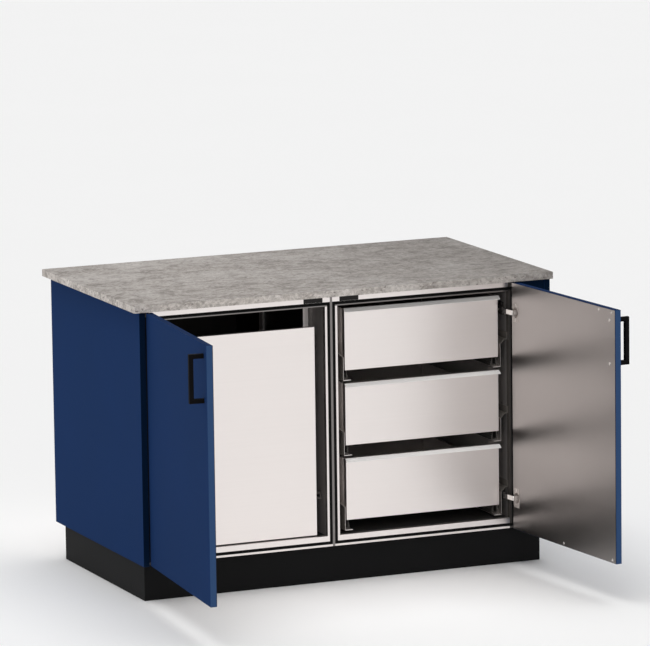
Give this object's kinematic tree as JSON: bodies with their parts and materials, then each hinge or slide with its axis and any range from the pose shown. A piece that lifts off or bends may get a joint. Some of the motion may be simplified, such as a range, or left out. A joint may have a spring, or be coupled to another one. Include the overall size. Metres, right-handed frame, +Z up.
{
  "type": "outdoor kitchen base cabinet",
  "caption": "Outdoor kitchen base cabinet: stone top, blue side panels, stainless boxes, hinged doors, pull-out waste bin drawer, finger-lip drawers and a recessed toe kick.",
  "frame": {"origin": "on the floor under the middle of the cabinet body, on the underside of the toe kick's middle board", "axes": "+X along the front towards the right-hand end panel, +Y from the front to the back, +Z up"},
  "size_m": [1.4252, 1.3705, 0.912],
  "materials": {
    "stone": "honed mottled grey stone",
    "blue_board": "through-coloured polymer board, fine satin texture",
    "black_board": "through-coloured black polymer board",
    "stainless": "brushed",
    "runner_steel": "pressed, satin",
    "screw_steel": "turned, satin",
    "rubber": "matt",
    "black_plastic": "moulded",
    "black_metal": "matt powder coat",
    "bin_plastic": "moulded, fine grain"
  },
  "bodies": {
    "cabinet": {"countertop": "stone", "side_panel_left": "blue_board", "side_panel_right": "blue_board", "filler_panel": "blue_board", "toe_kick_front": "black_board", "toe_kick_back": "black_board", "toe_kick_left": "black_board", "toe_kick_right": "black_board", "toe_kick_brace": "black_board", "levelling_feet": "black_plastic", "spacer_rails": "stainless", "runner_straps": "stainless", "bin_runner_fixed": "runner_steel", "drawer_brackets": "stainless", "left_box_shell": "stainless", "left_box_liner": "stainless", "left_box_frame": "stainless", "left_gasket": "rubber", "left_magnetic_catch": "black_plastic", "left_hinge_arms": "runner_steel", "right_box_shell": "stainless", "right_box_liner": "stainless", "right_box_frame": "stainless", "right_gasket": "rubber", "right_magnetic_catch": "black_plastic", "right_hinge_arms": "runner_steel", "lower_runner_fixed": "runner_steel", "centre_runner_fixed": "runner_steel", "upper_runner_fixed": "runner_steel"},
    "left_door": {"left_door_slab": "blue_board", "left_door_liner": "stainless", "left_door_pull": "black_metal", "left_door_screws": "screw_steel", "left_hinge_cups": "runner_steel"},
    "right_door": {"right_door_slab": "blue_board", "right_door_liner": "stainless", "right_door_pull": "black_metal", "right_door_screws": "screw_steel", "right_hinge_cups": "runner_steel"},
    "left_links": {"left_hinge_links": "runner_steel"},
    "right_links": {"right_hinge_links": "runner_steel"},
    "bin_drawer": {"bin_front": "stainless", "bin_cradle": "stainless", "bin_hoop": "stainless", "front_waste_bin": "bin_plastic", "rear_waste_bin": "bin_plastic", "bin_runner_moving": "runner_steel"},
    "bin_slide": {"bin_runner_middle": "runner_steel"},
    "lower_drawer": {"lower_drawer_front": "stainless", "lower_drawer_tray": "stainless", "lower_runner_moving": "runner_steel"},
    "lower_slide": {"lower_runner_middle": "runner_steel"},
    "centre_drawer": {"centre_drawer_front": "stainless", "centre_drawer_tray": "stainless", "centre_runner_moving": "runner_steel"},
    "centre_slide": {"centre_runner_middle": "runner_steel"},
    "upper_drawer": {"upper_drawer_front": "stainless", "upper_drawer_tray": "stainless", "upper_runner_moving": "runner_steel"},
    "upper_slide": {"upper_runner_middle": "runner_steel"}
  },
  "joints": [
    {"name": "left_door_hinge", "type": "hinge", "parent": "cabinet", "child": "left_door", "pos_m": [-0.6565, -0.3765, 0], "axis": [0, 0, -1], "range_deg": [-95, 0]},
    {"name": "left_link_pivot", "type": "hinge", "parent": "cabinet", "child": "left_links", "pos_m": [-0.6205, -0.3465, 0], "axis": [0, 0, -1], "range_deg": [-95, 0]},
    {"name": "right_door_hinge", "type": "hinge", "parent": "cabinet", "child": "right_door", "pos_m": [0.5655, -0.3765, 0], "axis": [0, 0, 1], "range_deg": [-95, 0]},
    {"name": "right_link_pivot", "type": "hinge", "parent": "cabinet", "child": "right_links", "pos_m": [0.5295, -0.3465, 0], "axis": [0, 0, 1], "range_deg": [-95, 0]},
    {"name": "bin_drawer_slide", "type": "slide", "parent": "cabinet", "child": "bin_drawer", "axis": [0, -1, 0], "range_m": [0, 0.48]},
    {"name": "bin_runner_slide", "type": "slide", "parent": "cabinet", "child": "bin_slide", "axis": [0, -1, 0], "range_m": [0, 0.24]},
    {"name": "lower_drawer_slide", "type": "slide", "parent": "cabinet", "child": "lower_drawer", "axis": [0, -1, 0], "range_m": [0, 0.48]},
    {"name": "lower_runner_slide", "type": "slide", "parent": "cabinet", "child": "lower_slide", "axis": [0, -1, 0], "range_m": [0, 0.24]},
    {"name": "centre_drawer_slide", "type": "slide", "parent": "cabinet", "child": "centre_drawer", "axis": [0, -1, 0], "range_m": [0, 0.48]},
    {"name": "centre_runner_slide", "type": "slide", "parent": "cabinet", "child": "centre_slide", "axis": [0, -1, 0], "range_m": [0, 0.24]},
    {"name": "upper_drawer_slide", "type": "slide", "parent": "cabinet", "child": "upper_drawer", "axis": [0, -1, 0], "range_m": [0, 0.48]},
    {"name": "upper_runner_slide", "type": "slide", "parent": "cabinet", "child": "upper_slide", "axis": [0, -1, 0], "range_m": [0, 0.24]}
  ],
  "couplings": [
    {"joint": "left_link_pivot", "follows": "left_door_hinge", "ratio": 1},
    {"joint": "right_link_pivot", "follows": "right_door_hinge", "ratio": 1},
    {"joint": "bin_runner_slide", "follows": "bin_drawer_slide", "ratio": 0.5},
    {"joint": "lower_runner_slide", "follows": "lower_drawer_slide", "ratio": 0.5},
    {"joint": "centre_runner_slide", "follows": "centre_drawer_slide", "ratio": 0.5},
    {"joint": "upper_runner_slide", "follows": "upper_drawer_slide", "ratio": 0.5}
  ]
}
